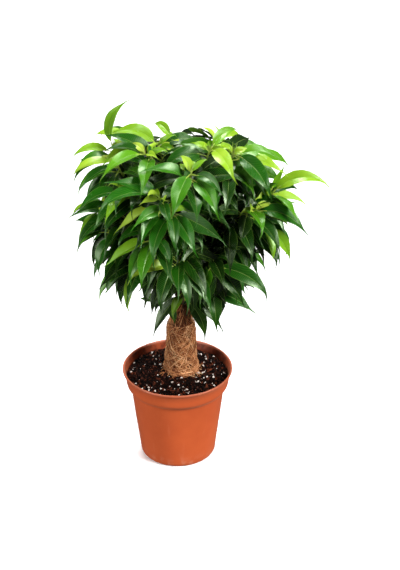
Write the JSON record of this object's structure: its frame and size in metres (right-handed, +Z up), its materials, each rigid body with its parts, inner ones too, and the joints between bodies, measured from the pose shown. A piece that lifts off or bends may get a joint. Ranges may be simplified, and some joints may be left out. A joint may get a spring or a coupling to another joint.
{
  "type": "potted weeping fig",
  "caption": "Small-leaved weeping fig with a bushy crown of drooping leaves on a coir-wrapped trunk, in a round plastic pot.",
  "frame": {"origin": "on the pot's axis, at the level that its foot stands on", "axes": "+Z up along the pot's axis, -Y the front of the plant, +X to the right seen from the front, the side that the crown leans to"},
  "size_m": [0.2593, 0.2369, 0.4173],
  "materials": {
    "terracotta_plastic": "satin moulded plastic",
    "compost": "damp crumbly compost with white perlite grains",
    "coir": "matted coarse coconut fibre",
    "bark": "smooth thin bark",
    "leaf": "glossy living leaf, paler underneath"
  },
  "bodies": {
    "root": {"coir_sleeve": "coir", "compost_and_roots": "compost", "pot": "terracotta_plastic", "shoot_01": "leaf", "shoot_02": "leaf", "shoot_03": "leaf", "shoot_04": "leaf", "shoot_05": "leaf", "shoot_06": "leaf", "shoot_07": "leaf", "shoot_08": "leaf", "shoot_09": "leaf", "shoot_10": "leaf", "shoot_11": "leaf", "shoot_12": "leaf", "shoot_13": "leaf", "shoot_14": "leaf", "shoot_15": "leaf", "shoot_16": "leaf", "shoot_17": "leaf", "shoot_18": "leaf", "shoot_19": "leaf", "shoot_20": "leaf", "shoot_21": "leaf", "shoot_22": "leaf", "shoot_23": "leaf", "shoot_crest_middle": "leaf", "shoot_crest_right": "leaf", "shoot_front_left": "leaf", "shoot_front_low": "leaf", "shoot_front_middle": "leaf", "shoot_front_top": "leaf", "shoot_front_upper_left": "leaf", "shoot_left_hook": "leaf", "shoot_left_lower": "leaf", "shoot_left_middle": "leaf", "shoot_left_under": "leaf", "shoot_low_left": "leaf", "shoot_low_middle": "leaf", "shoot_low_right": "leaf", "shoot_right_lower": "leaf", "shoot_right_middle": "leaf", "shoot_right_reach": "leaf", "shoot_right_top": "leaf", "shoot_right_under": "leaf", "shoot_shoulder_front": "leaf", "shoot_shoulder_left": "leaf", "shoot_top_far_left": "leaf", "shoot_top_left": "leaf", "shoot_top_middle": "leaf", "shoot_top_right": "leaf", "shoot_upper_left": "leaf", "shoot_upright_left": "leaf", "stem_1": "bark", "stem_2": "bark", "stem_3": "bark", "stem_4": "bark", "stem_5": "bark", "stem_6": "bark", "stem_middle": "bark"}
  },
  "joints": []
}
